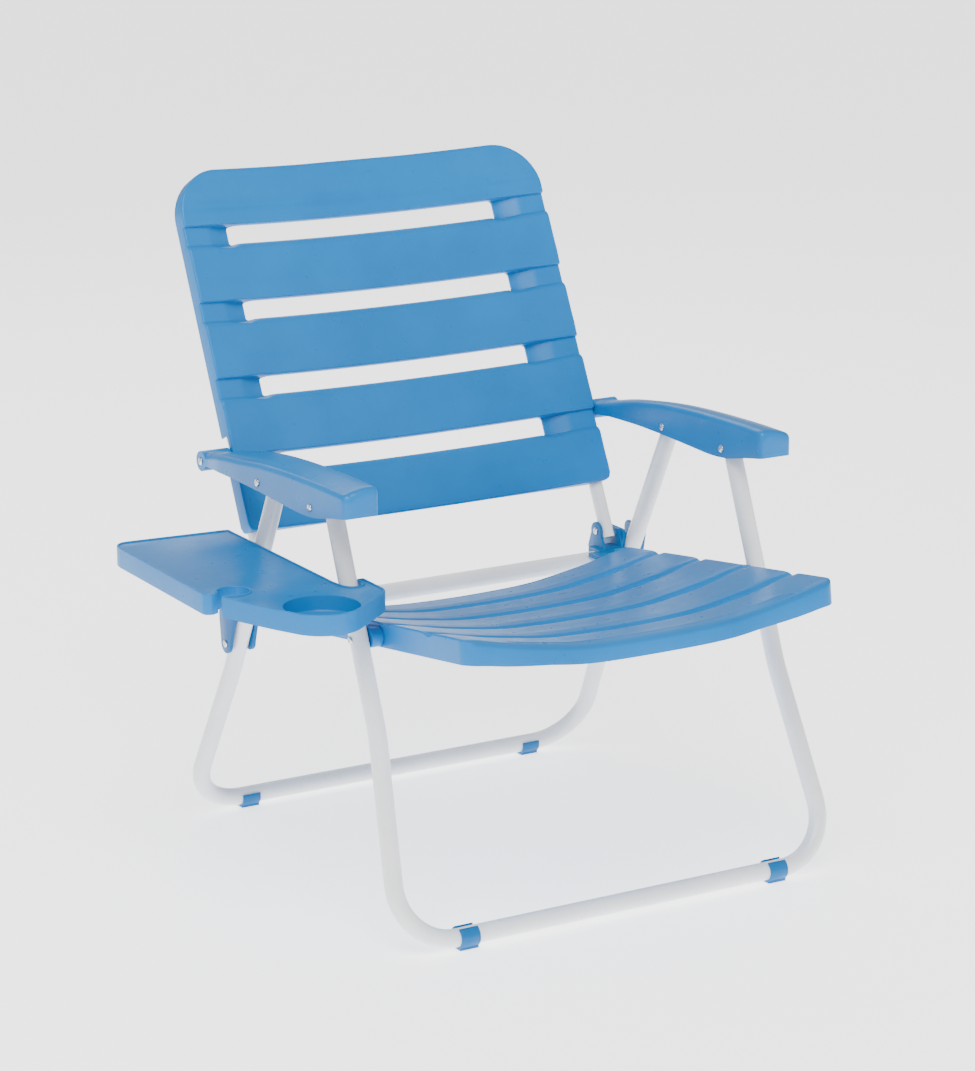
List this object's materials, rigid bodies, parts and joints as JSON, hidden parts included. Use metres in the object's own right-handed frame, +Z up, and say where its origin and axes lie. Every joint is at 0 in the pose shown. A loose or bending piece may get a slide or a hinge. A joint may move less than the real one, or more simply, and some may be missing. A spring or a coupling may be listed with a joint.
{
  "type": "beach chair",
  "caption": "Folding beach chair with a slatted moulded back and seat, moulded armrests, white tubular U legs with foot clips, and a clip-on side tray with a cup recess.",
  "frame": {"origin": "bottom centre of the whole object's bounding box, tray included, on the floor", "axes": "+Z up, the chair faces -Y, +X is the sitter's left; the tray is on the -X side"},
  "size_m": [0.6806, 0.6696, 0.7307],
  "materials": {
    "blue_plastic": "glossy sky-blue moulded polypropylene",
    "bracket_plastic": "slightly darker blue moulded plastic",
    "white_tube": "white powder-coated round tube",
    "screw_steel": "bright zinc-plated pan heads"
  },
  "bodies": {
    "seat": {"seat_panel": "blue_plastic", "seat_cross_tube": "white_tube", "rear_bracket_left": "bracket_plastic", "rear_bracket_right": "bracket_plastic", "seat_lug_left": "blue_plastic", "seat_lug_right": "blue_plastic", "back_pivot_rivet_left": "screw_steel", "back_pivot_rivet_right": "screw_steel", "rear_leg_screw_left": "screw_steel", "rear_leg_screw_right": "screw_steel", "front_leg_screw_left": "screw_steel", "front_leg_screw_right": "screw_steel"},
    "backrest": {"back_panel": "blue_plastic", "backrest_tube": "white_tube"},
    "arm_left": {"armrest_left": "blue_plastic", "arm_hub_screw_left": "screw_steel", "arm_screw_front_inner_left": "screw_steel", "arm_screw_front_outer_left": "screw_steel", "arm_screw_rear_inner_left": "screw_steel", "arm_screw_rear_outer_left": "screw_steel"},
    "arm_right": {"armrest_right": "blue_plastic", "arm_hub_screw_right": "screw_steel", "arm_screw_front_inner_right": "screw_steel", "arm_screw_front_outer_right": "screw_steel", "arm_screw_rear_inner_right": "screw_steel", "arm_screw_rear_outer_right": "screw_steel"},
    "front_legs": {"front_leg_frame": "white_tube", "foot_clip_front_left": "bracket_plastic", "foot_clip_front_right": "bracket_plastic"},
    "rear_legs": {"rear_leg_frame": "white_tube", "foot_clip_rear_left": "bracket_plastic", "foot_clip_rear_right": "bracket_plastic"},
    "tray": {"side_tray": "blue_plastic"}
  },
  "joints": [
    {"name": "back_fold", "type": "hinge", "parent": "seat", "child": "backrest", "pos_m": [0.06089, 0.1234, 0.3016], "axis": [1, 0, 0], "range_deg": [0, 90]},
    {"name": "front_leg_fold", "type": "hinge", "parent": "seat", "child": "front_legs", "pos_m": [0.06089, -0.1487, 0.3103], "axis": [1, 0, 0], "range_deg": [0, 90]},
    {"name": "arm_left_fold", "type": "hinge", "parent": "backrest", "child": "arm_left", "pos_m": [0.31139, 0.1777, 0.4335], "axis": [1, 0, 0], "range_deg": [-90, 0]},
    {"name": "arm_right_fold", "type": "hinge", "parent": "backrest", "child": "arm_right", "pos_m": [-0.18961, 0.1777, 0.4335], "axis": [1, 0, 0], "range_deg": [-90, 0]},
    {"name": "rear_leg_fold", "type": "hinge", "parent": "arm_left", "child": "rear_legs", "pos_m": [0.06089, 0.0256, 0.4429], "axis": [1, 0, 0], "range_deg": [0, 39.15]},
    {"name": "tray_slide", "type": "slide", "parent": "arm_right", "child": "tray", "axis": [0, -1, 0], "range_m": [0, 0.12]}
  ],
  "couplings": [
    {"joint": "front_leg_fold", "follows": "back_fold", "ratio": 1},
    {"joint": "arm_left_fold", "follows": "back_fold", "ratio": -1},
    {"joint": "arm_right_fold", "follows": "back_fold", "ratio": -1},
    {"joint": "rear_leg_fold", "follows": "back_fold", "ratio": 0.435}
  ]
}
